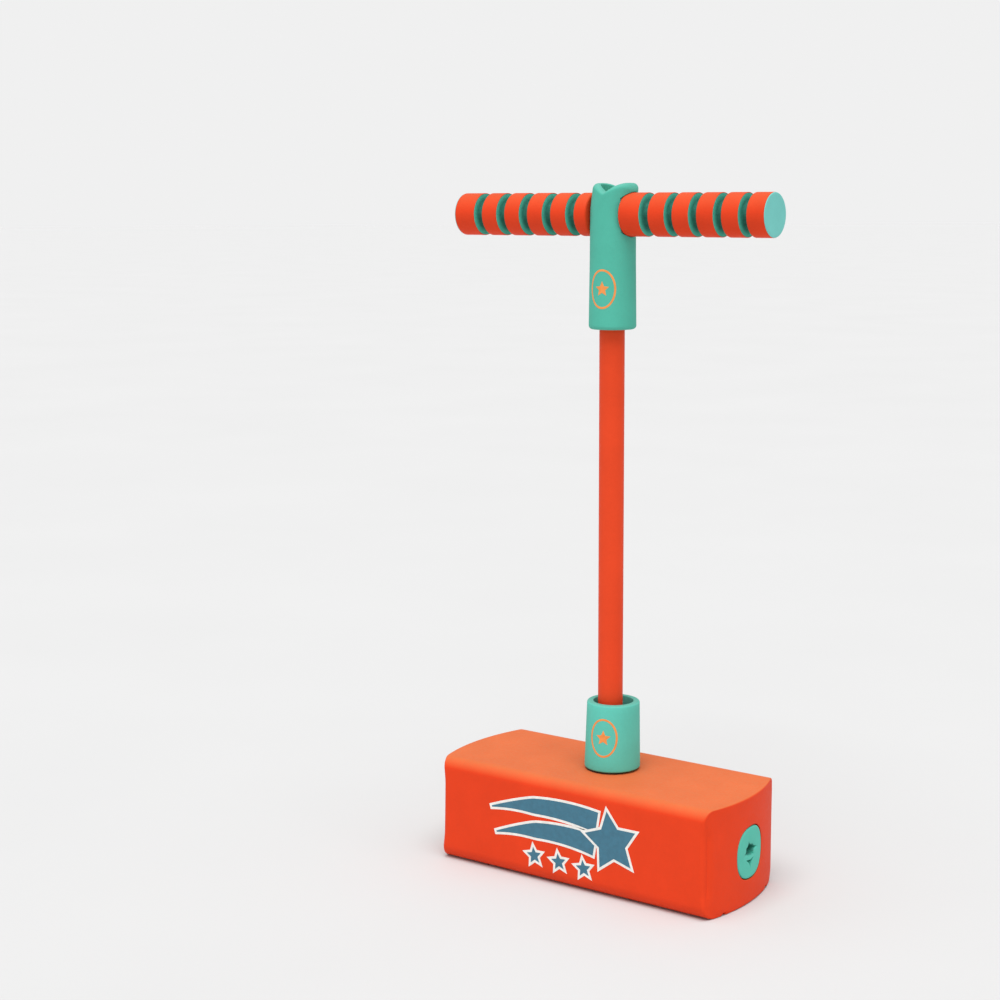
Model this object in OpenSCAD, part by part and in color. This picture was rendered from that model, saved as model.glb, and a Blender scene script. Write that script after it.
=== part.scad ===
// Soft foam jumping toy: a foam foot block, an elastic pole and a foam-gripped handlebar.
// +X runs along the foot block and the handlebar, -Y is the front, +Z is up.
// The origin is the middle of the foot block's underside.

/* [Foot block] */
// Length of the foot block between the crowns of its bowed ends
base_l = 234; // [200:1:280]
// Width of the foot block, front to back
base_w = 101; // [92:1:130]
// Height of the foot block
base_h = 76.4; // [72:0.2:90]
// How far each end bows out between the front and the back
base_bow = 9.3; // [4:0.1:14]
// Rounding of the long top edges
top_round = 8; // [2:0.5:14]
// Rounding of the long bottom edges
bottom_round = 10.5; // [2:0.5:14]
// Distance of each sole groove from the middle
groove_y = 32; // [28:1:38]
// Width of each sole groove
groove_w = 4; // [2:0.5:6]
// Depth of each sole groove
groove_d = 2.4; // [1:0.2:4]

/* [End plugs and squeakers] */
// Width of the oval pocket in each end
pocket_w = 35; // [28:1:38]
// Height of the oval pocket in each end
pocket_h = 36.5; // [34:0.5:44]
// Height of the pockets above the sole
pocket_z = 36.5; // [34:0.5:42]
// Depth of each pocket from the crown of the end
pocket_d = 34; // [30:1:44]
// Thickness of each end plug
plug_t = 12; // [8:1:14]
// Radius of the air hole in each end plug
vent_r = 1.2; // [0.8:0.1:2]

/* [Collar] */
// Height of the collar's rim above the sole
collar_top = 126; // [118:1:140]
// Outer radius of the collar at its rim
collar_r_top = 18.7; // [17.5:0.1:20]
// Outer radius of the collar at its foot
collar_r_foot = 19.9; // [18:0.1:21]
// Radius of the collar's bore
collar_bore_r = 14.2; // [14:0.1:15.5]

/* [Elastic pole] */
// Outer radius of the elastic tube
pole_r = 8.8; // [8.2:0.1:9]
// Radius of the elastic core inside the tube
core_r = 5.6; // [4:0.1:5.8]

/* [Handle] */
// Overall height of the toy
total_h = 490; // [470:1:520]
// Height of the foam sleeve over the handle's tee
sleeve_h = 100; // [94:1:110]
// Outer radius of the sleeve
sleeve_r = 16.2; // [15.8:0.1:17]
// Wall of the sleeve
sleeve_wall = 4.7; // [4:0.1:4.8]
// Depth of the two notches in the sleeve's open top
notch_d = 7.5; // [4:0.5:9]
// Height of the handlebar's axis below the top
bar_drop = 21.8; // [21:0.1:23]

/* [Handlebar] */
// Length of the handlebar over its end discs
bar_l = 250.4; // [244:0.2:262]
// Radius of the handlebar tube
tube_r = 6; // [5:0.1:6.4]
// Radius of the grips over their bands
grip_r = 14.85; // [13.5:0.05:15]
// Radius of the grips in their grooves
groove_r = 8.5; // [8.5:0.1:11]
// Thickness of each band
band_t = 0.6; // [0.5:0.1:1.6]
// Width of the bands in the middle of each grip
band_w = 12.4; // [10:0.1:14]
// Distance from one band to the next on the right grip
right_pitch = 18.7; // [17.5:0.1:18.8]
// Distance from one band to the next on the left grip
left_pitch = 19.6; // [19:0.1:19.8]
// Thickness of the disc that closes each grip
disc_t = 1.6; // [1:0.1:3]

/* [Hidden] */
$fn = 96;

foam_orange = "#E8492F";
foam_teal = "#4CB59B";
disc_teal = "#73C8BE";
inner_plastic = "#E9E6DC";
inner_grey = "#6E7276";
steel = "#B9BEC4";
eps = 0.01;
gap = 0.15;

// Foot block: the ends are arcs of a circle whose sagitta is the bow
end_r = (pow(base_w / 2, 2) + base_bow * base_bow) / (2 * base_bow);
end_c = base_l / 2 - end_r;
bore_r = 13;
recess_r = 25;
recess_d = 17;
plate_t = 3;
plate_bore_r = core_r + 0.4;

// Guide ferrule, pressed into the foot block and carrying the collar
guide_r = pole_r + 0.4;
flange_r = 17.4;
flange_t = 1.2;
spigot_top = base_h + flange_t + 19;
collar_foot = base_h + flange_t + 0.1;

// Pole: it bends at the collar's rim, where its two lengths meet in a ball
bend_z = collar_top;
tube_bore_r = core_r + 0.4;
ball_gap = 0.5;
lower_top = bend_z - pole_r - ball_gap;

// Handle
bar_z = total_h - bar_drop;
sleeve_z = total_h - sleeve_h;
sleeve_bore_r = sleeve_r - sleeve_wall;
tee_r = sleeve_bore_r - 0.2;
socket_z = sleeve_z + 10;
socket_floor = bar_z - 36;
socket_top = socket_floor + 12;
floor_t = 4;
tee_top = bar_z + 8.3;
chamber_r = 8.6;
chamber_top = bar_z - 12;
washer_t = 1.5;
face_x = 12.8;
grip_in = face_x + 0.3;
grip_out = bar_l / 2 - disc_t;
// Where the outermost band starts on each grip, and how much the right grip's innermost one is cut short
band_in = 111.8;
left_band_in = 108.1;
inner_cut = 1;
// Each lobe of the sleeve's top is an arc whose crest stands just over the flat rim
lobe_x = sleeve_r - 1.5;
lobe_over = 0.3;
lobe_sag = notch_d + lobe_over;
lobe_r = (lobe_x * lobe_x + lobe_sag * lobe_sag) / (2 * lobe_sag);

// Turns a shape so that what pointed along +Z points along +X (side = 1) or -X (side = -1)
module along_x(side = 1) {
  rotate([0, side * 90, 0]) children();
}

// A ring about Z: outer radius, inner radius, lowest and highest Z
module ring(r_out, r_in, z0, z1) {
  difference() {
    translate([0, 0, z0]) cylinder(r = r_out, h = z1 - z0);
    translate([0, 0, z0 - 1]) cylinder(r = r_in, h = z1 - z0 + 2);
  }
}

// Everything between the two bowed ends
module between_ends(z0, z1) {
  translate([0, 0, z0])
  for (side = [-1, 1])
    intersection() {
      translate([side * end_c, 0, 0]) cylinder(r = end_r, h = z1 - z0, $fn = 360);
      translate([side > 0 ? -eps : -base_l, -base_w, 0]) cube([base_l + eps, 2 * base_w, z1 - z0]);
    }
}

// The foot block's section, rounded along its four long edges
module long_block() {
  x0 = -base_l / 2 - 1;
  len = base_l + 2;
  top_y = base_w / 2 - top_round;
  low_y = base_w / 2 - bottom_round;
  translate([x0, -base_w / 2, bottom_round]) cube([len, base_w, base_h - top_round - bottom_round]);
  translate([x0, -top_y, base_h - top_round - eps]) cube([len, 2 * top_y, top_round + eps]);
  translate([x0, -low_y, 0]) cube([len, 2 * low_y, bottom_round + eps]);
  for (side = [-1, 1]) {
    translate([x0, side * top_y, base_h - top_round]) along_x() cylinder(r = top_round, h = len);
    translate([x0, side * low_y, bottom_round]) along_x() cylinder(r = bottom_round, h = len);
  }
}

// An upright oval, swept outwards along X from x0 to x1
module oval(width, height, side, x0, x1) {
  r = width / 2;
  straight = height - width;
  for (s = [-1, 1])
    translate([side * x0, 0, pocket_z + s * straight / 2]) along_x(side) cylinder(r = r, h = x1 - x0);
  translate([side > 0 ? x0 : -x1, -r, pocket_z - straight / 2]) cube([x1 - x0, width, straight]);
}

module base_foam() {
  color(foam_orange)
  difference() {
    intersection() {
      long_block();
      between_ends(-1, base_h + 1);
    }
    translate([0, 0, -1]) cylinder(r = bore_r, h = base_h + 2);
    translate([0, 0, -1]) cylinder(r = recess_r, h = recess_d + 1);
    for (side = [-1, 1]) {
      oval(pocket_w, pocket_h, side, base_l / 2 - pocket_d, base_l / 2 + 2);
      translate([-base_l / 2 - 1, side * groove_y - groove_w / 2, -1])
        cube([base_l + 2, groove_w, groove_d + 1]);
    }
  }
}

module anchor_plate() {
  color(inner_plastic) ring(recess_r - gap, plate_bore_r, recess_d - plate_t, recess_d);
}

module anchor_cover() {
  color(foam_teal) translate([0, 0, 0.6]) cylinder(r = recess_r - gap, h = 4);
}

module guide_ferrule() {
  color(inner_plastic)
  difference() {
    union() {
      translate([0, 0, recess_d + 0.2]) cylinder(r = bore_r - 0.05, h = base_h - recess_d);
      translate([0, 0, base_h]) cylinder(r = flange_r, h = flange_t);
      translate([0, 0, base_h]) cylinder(r = collar_bore_r - 0.05, h = spigot_top - base_h);
    }
    cylinder(r = guide_r, h = spigot_top + 1);
  }
}

module base_collar() {
  edge = 1.2;
  color(foam_teal)
  rotate_extrude()
    polygon([
      [collar_bore_r, collar_foot],
      [collar_r_foot - edge, collar_foot],
      [collar_r_foot, collar_foot + edge],
      [collar_r_top, collar_top - edge],
      [collar_r_top - edge, collar_top],
      [collar_bore_r + edge, collar_top],
      [collar_bore_r, collar_top - edge]
    ]);
}

module end_plug(side) {
  color(foam_teal)
  difference() {
    intersection() {
      oval(pocket_w - 2 * gap, pocket_h - 2 * gap, side, base_l / 2 - plug_t, base_l / 2 + 1);
      translate([side * end_c, 0, 0]) cylinder(r = end_r, h = base_h, $fn = 360);
    }
    translate([side * (base_l / 2 - plug_t - 1), 0, pocket_z]) along_x(side)
      cylinder(r = vent_r, h = plug_t + 3);
  }
}

// Hollow bulb with a neck: it sits in the pocket with its neck towards the middle
module squeaker_bulb(side) {
  wall = 1.2;
  r = 13;
  neck_r = 5.4;
  x_out = base_l / 2 - plug_t - 0.6;
  len = 13;
  neck = 6;
  color(inner_plastic)
  translate([side * x_out, 0, pocket_z]) along_x(-side)
    difference() {
      union() {
        cylinder(r = r, h = len);
        translate([0, 0, len - eps]) cylinder(r = neck_r, h = neck);
      }
      translate([0, 0, wall]) cylinder(r = r - wall, h = len - 2 * wall);
      translate([0, 0, len - 2 * wall]) cylinder(r = neck_r - wall, h = neck + 2 * wall + 1);
    }
}

// The reed that sounds when the block is squeezed, pushed into the bulb's neck
module squeaker_reed(side) {
  r = 4.1;
  x_out = base_l / 2 - plug_t - 0.6 - 14;
  color(inner_grey)
  translate([side * x_out, 0, pocket_z]) along_x(-side)
    difference() {
      union() {
        cylinder(r = r, h = 4);
        translate([0, 0, 5.5]) cylinder(r = r + 1, h = 1);
        translate([0, 0, 3]) cylinder(r = r, h = 3);
      }
      translate([-2.2, -0.4, -1]) cube([4.4, 0.8, 9]);
    }
}

module left_end_plug() { end_plug(-1); }
module right_end_plug() { end_plug(1); }
module left_squeaker_bulb() { squeaker_bulb(-1); }
module right_squeaker_bulb() { squeaker_bulb(1); }
module left_squeaker_reed() { squeaker_reed(-1); }
module right_squeaker_reed() { squeaker_reed(1); }

module lower_pole_tube() {
  color(foam_orange) ring(pole_r, tube_bore_r, recess_d + 0.5, lower_top);
}

module lower_elastic_core() {
  z0 = recess_d - plate_t - 2;
  color(inner_grey) translate([0, 0, z0]) cylinder(r = core_r, h = lower_top - z0 - 0.5);
}

module anchor_washer() {
  color(steel) ring(14, core_r + 0.1, recess_d - plate_t - 0.3 - washer_t, recess_d - plate_t - 0.3);
}

module lower_cord_stop() {
  h = 5.5;
  top = recess_d - plate_t - 0.4 - washer_t;
  color(inner_grey)
  difference() {
    translate([0, 0, top - h]) cylinder(r1 = 7.5, r2 = 9.5, h = h);
    translate([0, 0, recess_d - plate_t - 2]) cylinder(r = core_r, h = 5);
  }
}

// The tube above the bend, ended below in the ball that it bends on
module upper_pole_tube() {
  color(foam_orange)
  difference() {
    union() {
      translate([0, 0, bend_z]) cylinder(r = pole_r, h = socket_floor - 1 - bend_z);
      translate([0, 0, bend_z]) sphere(r = pole_r);
    }
    translate([0, 0, bend_z + 10]) cylinder(r = tube_bore_r, h = total_h);
  }
}

module upper_elastic_core() {
  top = socket_floor + floor_t + 0.2;
  color(inner_grey) translate([0, 0, bend_z + 10.5]) cylinder(r = core_r, h = top - bend_z - 10.5);
}

module upper_washer() {
  z0 = socket_floor + floor_t + 0.3;
  color(steel) translate([0, 0, z0]) cylinder(r = chamber_r - 0.5, h = washer_t);
}

module upper_cord_stop() {
  z0 = socket_floor + floor_t + 0.4 + washer_t;
  color(inner_grey) translate([0, 0, z0]) cylinder(r1 = chamber_r - 0.8, r2 = chamber_r - 2.5, h = 6);
}

// Lower half of the tee: the pole's end turns in it, and its floor holds the washer
module pole_socket() {
  color(inner_plastic)
  difference() {
    translate([0, 0, socket_z]) cylinder(r = tee_r, h = socket_top - socket_z);
    translate([0, 0, socket_z - 1]) cylinder(r = pole_r + 0.4, h = socket_floor - socket_z + 1);
    translate([0, 0, socket_floor - 1]) cylinder(r = core_r + 0.4, h = floor_t + 2);
    translate([0, 0, socket_floor + floor_t]) cylinder(r = chamber_r, h = socket_top);
  }
}

// Upper half of the tee: it carries the handlebar tube crosswise
module tee_head() {
  color(inner_plastic)
  difference() {
    translate([0, 0, socket_top]) cylinder(r = tee_r, h = tee_top - socket_top);
    translate([0, 0, socket_top - 1]) cylinder(r = chamber_r, h = chamber_top - socket_top + 1);
    translate([-tee_r - 1, 0, bar_z]) along_x() cylinder(r = tube_r + 0.05, h = 2 * tee_r + 2);
  }
}

// Foam sleeve: a tube with two notches in its open top and a flat where each grip butts it
module handle_sleeve() {
  low = total_h - notch_d - 4;
  color(foam_teal)
  difference() {
    union() {
      ring(sleeve_r, sleeve_bore_r, sleeve_z, low);
      intersection() {
        ring(sleeve_r, sleeve_bore_r, low - 1, total_h);
        sleeve_lobes();
      }
    }
    translate([-sleeve_r - 1, 0, bar_z]) along_x() cylinder(r = tube_r + 0.4, h = 2 * sleeve_r + 2);
    for (side = [-1, 1])
      translate([side * face_x, 0, bar_z]) along_x(side) cylinder(r = grip_r + 0.5, h = sleeve_r);
  }
}

// Two arched slabs that meet in the notches at the front and the back
module sleeve_lobes() {
  for (side = [-1, 1])
    translate([side * lobe_x, sleeve_r + 2, total_h + lobe_over - lobe_r]) rotate([90, 0, 0])
      cylinder(r = lobe_r, h = 2 * sleeve_r + 4);
}

module handlebar_tube() {
  color(steel)
  translate([-grip_out, 0, bar_z]) along_x()
    difference() {
      cylinder(r = tube_r, h = 2 * grip_out);
      translate([0, 0, -1]) cylinder(r = tube_r - 1, h = 2 * grip_out + 2);
    }
}

// Where each band starts and ends, measured outwards from the middle; band 1 is the innermost
function first_in(side) = side > 0 ? band_in : left_band_in;
function pitch(side) = side > 0 ? right_pitch : left_pitch;
function band_from(side, i) = i == 1 ? grip_in : first_in(side) - (6 - i) * pitch(side);
function band_to(side, i) =
  i == 6 ? grip_out : first_in(side) - (6 - i) * pitch(side) + band_w - (i == 1 && side > 0 ? inner_cut : 0);

// Foam core of a grip: a land under each band and a groove between them
module grip_core(side) {
  color(foam_teal)
  translate([0, 0, bar_z])
  difference() {
    union() {
      translate([side * grip_in, 0, 0]) along_x(side) cylinder(r = groove_r, h = grip_out - grip_in);
      for (i = [1:6])
        translate([side * band_from(side, i), 0, 0]) along_x(side)
          cylinder(r = grip_r - band_t, h = band_to(side, i) - band_from(side, i));
    }
    translate([side * (grip_in - 1), 0, 0]) along_x(side) cylinder(r = tube_r, h = grip_out);
  }
}

module band(side, i) {
  x0 = band_from(side, i);
  color(foam_orange)
  translate([side * x0, 0, bar_z]) along_x(side) ring(grip_r, grip_r - band_t, 0, band_to(side, i) - x0);
}

module end_disc(side) {
  color(disc_teal)
  translate([side * grip_out, 0, bar_z]) along_x(side) {
    cylinder(r = grip_r - 0.2, h = disc_t / 2);
    translate([0, 0, disc_t / 2]) cylinder(r1 = grip_r - 0.2, r2 = grip_r - 1, h = disc_t / 2);
  }
}

// Plug that closes the end of the handlebar tube behind the disc
module tube_plug(side) {
  color(inner_grey)
  translate([side * (grip_out - 10), 0, bar_z]) along_x(side) cylinder(r = tube_r - 1, h = 10);
}

module left_grip_core() { grip_core(-1); }
module right_grip_core() { grip_core(1); }
module left_end_disc() { end_disc(-1); }
module right_end_disc() { end_disc(1); }
module left_tube_plug() { tube_plug(-1); }
module right_tube_plug() { tube_plug(1); }

base_foam();
anchor_plate();
anchor_cover();
guide_ferrule();
base_collar();
left_end_plug();
right_end_plug();
left_squeaker_bulb();
right_squeaker_bulb();
left_squeaker_reed();
right_squeaker_reed();
lower_pole_tube();
lower_elastic_core();
anchor_washer();
lower_cord_stop();
upper_pole_tube();
upper_elastic_core();
upper_washer();
upper_cord_stop();
pole_socket();
tee_head();
handle_sleeve();
handlebar_tube();
left_grip_core();
right_grip_core();
for (i = [1:6]) {
  band(-1, i);
  band(1, i);
}
left_end_disc();
right_end_disc();
left_tube_plug();
right_tube_plug();
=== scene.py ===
import math

import bmesh
import bpy
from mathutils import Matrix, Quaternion, Vector


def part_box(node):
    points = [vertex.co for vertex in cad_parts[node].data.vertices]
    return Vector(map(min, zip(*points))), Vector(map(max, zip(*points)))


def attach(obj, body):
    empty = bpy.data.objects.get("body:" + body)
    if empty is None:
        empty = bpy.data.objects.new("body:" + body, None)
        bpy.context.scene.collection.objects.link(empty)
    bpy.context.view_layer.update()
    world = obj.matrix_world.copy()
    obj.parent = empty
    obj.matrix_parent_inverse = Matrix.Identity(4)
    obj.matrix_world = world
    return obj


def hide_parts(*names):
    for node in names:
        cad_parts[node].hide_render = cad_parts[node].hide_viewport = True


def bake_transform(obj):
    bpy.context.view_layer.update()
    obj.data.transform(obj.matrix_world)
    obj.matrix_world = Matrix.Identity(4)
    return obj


# Looks of a soft foam jumping toy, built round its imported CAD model.
# Metres throughout: +X runs along the foot block and the handlebar, -Y is the front, +Z is up.
# Most pieces are turned or swept skins over rows of points; every material is made of nodes.

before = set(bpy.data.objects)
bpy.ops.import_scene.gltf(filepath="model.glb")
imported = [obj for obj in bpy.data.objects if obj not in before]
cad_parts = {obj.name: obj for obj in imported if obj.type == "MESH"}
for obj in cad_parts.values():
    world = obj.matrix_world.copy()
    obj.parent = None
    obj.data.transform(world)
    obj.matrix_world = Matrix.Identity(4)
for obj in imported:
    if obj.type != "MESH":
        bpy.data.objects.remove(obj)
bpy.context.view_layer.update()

MM = 0.001
TAU = math.tau
SIDES = {"left": -1, "right": 1}
SHARP = math.radians(38)


# ---------------------------------------------------------------- camera

CAMERA_AZIMUTH = math.radians(36.26)
CAMERA_ELEVATION = math.radians(9.04)
CAMERA_ROLL = math.radians(-0.25)
CAMERA_DISTANCE = 1.34654
CAMERA_SIDEWAYS = -0.07802
CAMERA_HEIGHT = 0.27058
CAMERA_LENS = 69.16


def make_camera():
    """Looks at the toy from its front right, from a little above."""
    back = Vector((
        math.sin(CAMERA_AZIMUTH) * math.cos(CAMERA_ELEVATION),
        -math.cos(CAMERA_AZIMUTH) * math.cos(CAMERA_ELEVATION),
        math.sin(CAMERA_ELEVATION),
    ))
    level = Vector((math.cos(CAMERA_AZIMUTH), math.sin(CAMERA_AZIMUTH), 0))
    target = level * CAMERA_SIDEWAYS + Vector((0, 0, CAMERA_HEIGHT))
    camera = bpy.data.objects.new("camera", bpy.data.cameras.new("camera"))
    bpy.context.scene.collection.objects.link(camera)
    camera.data.lens = CAMERA_LENS
    camera.data.clip_start = 0.05
    camera.data.clip_end = 60
    camera.location = target + back * CAMERA_DISTANCE
    camera.rotation_mode = "QUATERNION"
    camera.rotation_quaternion = Quaternion(back, CAMERA_ROLL) @ (-back).to_track_quat("-Z", "Y")
    bpy.context.scene.camera = camera


make_camera()


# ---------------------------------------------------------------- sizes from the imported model

# The foot block: its ends are bowed out by BOW, and two grooves run along its sole
foam_low, foam_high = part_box("base_foam")
HALF_L = foam_high.x
HALF_W = foam_high.y
BASE_H = foam_high.z
BOW = 9.3 * MM
END_R = (HALF_W * HALF_W + BOW * BOW) / (2 * BOW)
END_C = HALF_L - END_R
TOP_ROUND = 8 * MM
BOTTOM_ROUND = 10.5 * MM
GROOVE_Y = 32 * MM
GROOVE_W = 4 * MM
GROOVE_D = 2.4 * MM
GROOVE_SLOPE = 0.4 * MM

# Rounding of an end's edge: along its top, elsewhere, and down its front corner
END_EDGE_TOP = 1.1 * MM
END_EDGE = 1.8 * MM
END_EDGE_FRONT = 4 * MM

# How far towards -X the right end's back corner and the left end's front corner are cut, how much
# more that is at the sole, and how far from the end the cut begins and has its full size
SKEW = {1: 3.7 * MM, -1: 4.1 * MM}
FLARE = {1: 0, -1: 2 * MM}
SKEW_FROM = 32 * MM
SKEW_TO = 16 * MM

# The end plug: an upright oval in a pocket, with a ragged puncture and a small split under it
plug_low, plug_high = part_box("right_end_plug")
PLUG_Z = (plug_low.z + plug_high.z) / 2
PLUG_HALF_W = plug_high.y
PLUG_HALF_H = (plug_high.z - plug_low.z) / 2
PLUG_T = plug_high.x - plug_low.x
PLUG_POWER = 2.4
PLUG_EDGE = 0.8 * MM
POCKET_GAP = 0.8 * MM
POCKET_D = 34 * MM
PUNCTURE_Y = -0.4 * MM
PUNCTURE_Z = PLUG_Z + 1.8 * MM
PUNCTURE_WIDE = 1.55
PUNCTURE_TALL = 1.02
PUNCTURE_R = 3.3 * MM
PUNCTURE_D = 10.5 * MM
SPIKE_L = 3 * MM
SPIKES = (1.0, 0.25, 0.55, 0.2, 0.95, 0.3, 0.5, 0.15, 0.85, 0.3, 0.65, 0.2, 0.9, 0.25)
SPLIT_Y = -0.6 * MM
SPLIT_Z = PLUG_Z - 6.6 * MM
SPLIT_R = 4.4 * MM
SPLIT_WIDE = 1.5
SPLIT_D = 6 * MM

# The recess under the block, its foam cover and the bore that the pole's guide stands in
cover_low, cover_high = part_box("anchor_cover")
RECESS_R = cover_high.x
RECESS_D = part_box("anchor_plate")[1].z
RECESS_CLEAR = 0.2 * MM
COVER_R = RECESS_R - 0.1 * MM
BORE_R = 13 * MM

# The collar: it tapers, and stands a little out of true, more so at its rim
collar_low, collar_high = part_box("base_collar")
COLLAR_R = collar_high.x
COLLAR_BORE_R = 14.2 * MM
COLLAR_TAPER = 1.2 * MM
COLLAR_SLIP = 1.6 * MM
COLLAR_LEAN = 0.6 * MM
COLLAR_WAY = (0.8, 0.6)

# The pole: it bends round BEND_Z, and stretches above SEAM_Z, where its lower and upper lengths meet
pole_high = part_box("upper_pole_tube")[1]
POLE_R = pole_high.x
POLE_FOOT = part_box("lower_pole_tube")[0].z
POLE_TOP = pole_high.z
core_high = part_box("upper_elastic_core")[1]
CORE_R = core_high.x
CORE_GAP = 0.4 * MM
BEND_Z = collar_high.z
SEAM_Z = BEND_Z + 24 * MM

# The handle's sleeve: SLIM thinner than its CAD solid and BELL wider at its foot, leaning by
# SLEEVE_LEAN at its top, with a rim notched like a fish's mouth and pinched in by PINCH
sleeve_low, sleeve_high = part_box("handle_sleeve")
SLEEVE_R = sleeve_high.y
SLEEVE_WALL = 4.7 * MM
SLIM = 0.3 * MM
BELL = 0.6 * MM
BELL_H = 45 * MM
PINCH = 1.6 * MM
SLEEVE_LEAN = 2.1 * MM
NOTCH = 7.5 * MM
NOTCH_POWER = 1.9
NOTCH_SOFT = 1.2 * MM
SHOULDER = 5.5 * MM
LOBE_X = SLEEVE_R - 1.5 * MM
KNEE_Z = sleeve_high.z - NOTCH - 6 * MM
SPOT_FACE = 12.8 * MM
SPOT_CLEAR = 0.5 * MM

# The grips: six skins round a grooved foam core, closed by a disc
bar_low, bar_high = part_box("handlebar_tube")
BAR_Z = (bar_low.z + bar_high.z) / 2
TUBE_R = bar_high.y
TUBE_CLEAR = 0.4 * MM
BANDS = 6
GRIP_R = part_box("right_band_3")[1].y
SKIN = 0.4 * MM
LAND_R = GRIP_R - SKIN
GROOVE_R = 8.5 * MM
LIP = 0.5 * MM
GRIP_OUT = bar_high.x
DISC_IN = GRIP_OUT + 1 * MM
DISC_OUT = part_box("right_end_disc")[1].x
DISC_R = GRIP_R - 0.15 * MM

# How far a cutter reaches past what it cuts
PAST = 1 * MM


# ---------------------------------------------------------------- mesh helpers

def finish_mesh(bm, name):
    """Turns a bmesh into an object with outward normals and creases where it is sharp."""
    bmesh.ops.recalc_face_normals(bm, faces=bm.faces)
    mesh = bpy.data.meshes.new(name)
    bm.to_mesh(mesh)
    bm.free()
    piece = bpy.data.objects.new(name, mesh)
    bpy.context.scene.collection.objects.link(piece)
    shade(piece)
    return piece


def shade(piece):
    """Smooth shading, with creases at the sharp edges."""
    bm = bmesh.new()
    bm.from_mesh(piece.data)
    for face in bm.faces:
        face.smooth = True
    for edge in bm.edges:
        edge.smooth = len(edge.link_faces) != 2 or edge.calc_face_angle(0) < SHARP
    bm.to_mesh(piece.data)
    bm.free()


def from_rows(name, rows, closed):
    """A skin over rows of points; each row closes on itself, and a one-point row is a pole."""
    bm = bmesh.new()
    made = [[bm.verts.new(point) for point in row] for row in rows]
    size = max(len(row) for row in made)
    made = [row if len(row) > 1 else row * size for row in made]
    following = made[1:] + ([made[0]] if closed else [])
    for low, high in zip(made, following):
        for k in range(size):
            n = (k + 1) % size
            corners = list(dict.fromkeys([low[k], low[n], high[n], high[k]]))
            if len(corners) > 2:
                bm.faces.new(corners)
    return finish_mesh(bm, name)


def rounded(corners, closed=True, steps=6):
    """An outline through corners (u, v, radius), with an arc of that radius at each."""
    outline = []
    count = len(corners)
    for i, (u, v, radius) in enumerate(corners):
        here = Vector((u, v))
        if radius <= 0 or (not closed and i in (0, count - 1)):
            outline.append((u, v))
            continue
        back = (Vector(corners[i - 1][:2]) - here).normalized()
        ahead = (Vector(corners[(i + 1) % count][:2]) - here).normalized()
        half = back.angle(ahead) / 2
        reach = radius / math.tan(half)
        centre = here + (back + ahead).normalized() * (radius / math.sin(half))
        first = here + back * reach - centre
        last = here + ahead * reach - centre
        start = math.atan2(first.y, first.x)
        sweep = (math.atan2(last.y, last.x) - start + math.pi) % TAU - math.pi
        for k in range(steps + 1):
            angle = start + sweep * k / steps
            outline.append((centre.x + radius * math.cos(angle), centre.y + radius * math.sin(angle)))
    return outline


def spaced(outline, step, closed=True):
    """The outline with points added, so that none are further apart than step."""
    dense = []
    ends = outline[1:] + (outline[:1] if closed else [])
    for (u0, v0), (u1, v1) in zip(outline, ends):
        parts = max(1, math.ceil(math.hypot(u1 - u0, v1 - v0) / step))
        dense += [(u0 + (u1 - u0) * k / parts, v0 + (v1 - v0) * k / parts) for k in range(parts)]
    return dense if closed else dense + [outline[-1]]


def ramp(value, low, high):
    """0 up to low, 1 from high on, and a smooth rise between."""
    share = min(1.0, max(0.0, (value - low) / (high - low)))
    return share * share * (3 - 2 * share)


def between(first, last, share):
    """The point at that share of the way from the first point to the last."""
    return tuple(a + (b - a) * share for a, b in zip(first, last))


def quarter(steps, size):
    """The insets and setbacks of a quarter-round edge, from its start to its end."""
    turns = [k / steps * math.pi / 2 for k in range(steps + 1)]
    return [(size * (1 - math.cos(turn)), size * (1 - math.sin(turn))) for turn in turns]


def upright(radius, angle, height):
    """A point about the pole's axis."""
    return radius * math.cos(angle), radius * math.sin(angle), height


def along_bar(side):
    """The place function of a piece about the handlebar's axis, outwards on that side."""
    def place(radius, angle, reach):
        return side * reach, radius * math.cos(angle), BAR_Z + radius * math.sin(angle)
    return place


def star(u, v, radius, turn=0.0, waist=0.46, points=5):
    """A star's outline."""
    outline = []
    for k in range(2 * points):
        reach = radius if k % 2 == 0 else radius * waist
        angle = turn + math.pi / 2 + math.pi * k / points
        outline.append((u + reach * math.cos(angle), v + reach * math.sin(angle)))
    return outline


def lathe(name, outline, place, closed=True, segments=96):
    """A turned piece: the outline's points are (radius, distance along the axis)."""
    rows = []
    for radius, along in outline:
        turns = segments if radius > 0 else 1
        rows.append([place(radius, TAU * k / segments, along) for k in range(turns)])
    return from_rows(name, rows, closed)


def cut(piece, cutter):
    """Takes the cutter out of the piece."""
    modifier = piece.modifiers.new("cut", "BOOLEAN")
    modifier.operation = "DIFFERENCE"
    modifier.solver = "EXACT"
    modifier.object = cutter
    bpy.context.view_layer.update()
    ready = piece.evaluated_get(bpy.context.evaluated_depsgraph_get())
    mesh = bpy.data.meshes.new_from_object(ready)
    piece.modifiers.clear()
    piece.data = mesh
    bpy.data.objects.remove(cutter)
    shade(piece)


def wear(piece, material, body, slot, *nodes, padded=False):
    """Gives a piece its material and its body, and hides the CAD parts that it stands for; its slot is
    not used.
    """
    piece.data.materials.clear()
    piece.data.materials.append(material)
    if body:
        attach(piece, body)
    if nodes:
        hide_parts(*nodes)


# ---------------------------------------------------------------- materials

def srgb(*levels):
    """A colour of 0 to 255 levels as Blender's linear colour."""
    linear = [((c / 255 + 0.055) / 1.055) ** 2.4 if c > 10 else c / 255 / 12.92 for c in levels]
    return (*linear, 1.0)


def scaled(colour, factor):
    """A lighter or darker colour."""
    return (*[min(1.0, c * factor) for c in colour[:3]], 1.0)


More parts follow.
